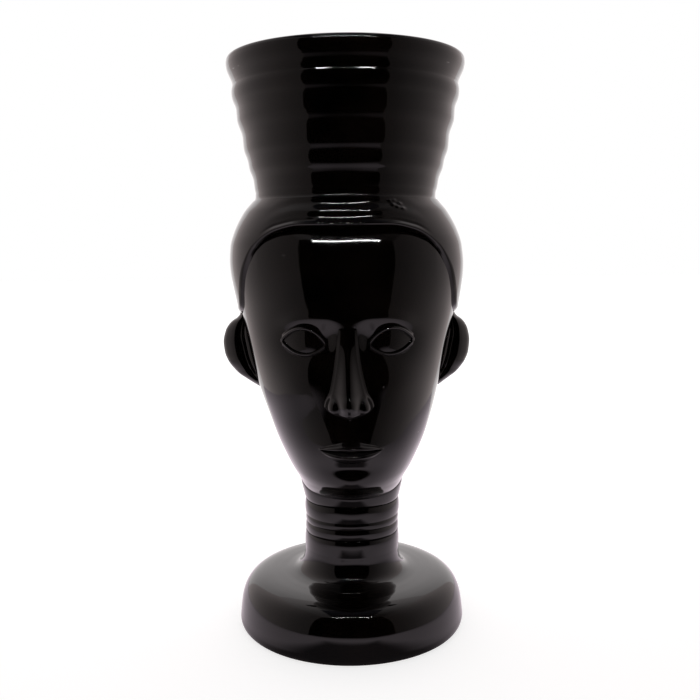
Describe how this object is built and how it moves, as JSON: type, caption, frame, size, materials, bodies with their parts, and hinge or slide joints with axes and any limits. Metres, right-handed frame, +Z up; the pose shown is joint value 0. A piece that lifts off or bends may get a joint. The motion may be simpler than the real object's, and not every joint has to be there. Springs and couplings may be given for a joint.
{
  "type": "head mug",
  "caption": "Pedestal drinking mug shaped as a head under a tall ribbed headdress, with cupped ears, a ringed neck and a domed foot, in black glaze.",
  "frame": {"origin": "centre of the bounding box's base, on the axis of the foot, on the surface the mug stands on", "axes": "+Z up through the mouth, the face looks along -Y, +X is the figure's left"},
  "size_m": [0.0892, 0.0836, 0.205],
  "materials": {
    "black_glaze": "gloss, jet black with a faint warm brown where the glaze thins on edges",
    "bare_clay": "unglazed, fine and matt"
  },
  "bodies": {
    "root": {"rim_coil": "black_glaze", "headdress_wall": "black_glaze", "hair_cap": "black_glaze", "head_shell": "black_glaze", "cup_floor": "black_glaze", "left_ear": "black_glaze", "right_ear": "black_glaze", "nose": "black_glaze", "left_eye": "black_glaze", "right_eye": "black_glaze", "left_upper_lid": "black_glaze", "left_lower_lid": "black_glaze", "right_upper_lid": "black_glaze", "right_lower_lid": "black_glaze", "upper_lip": "black_glaze", "lower_lip": "black_glaze", "neck_tube": "black_glaze", "neck_ring_1": "black_glaze", "neck_ring_2": "black_glaze", "neck_ring_3": "black_glaze", "neck_ring_4": "black_glaze", "pedestal_foot": "black_glaze", "foot_ring": "bare_clay"}
  },
  "joints": []
}
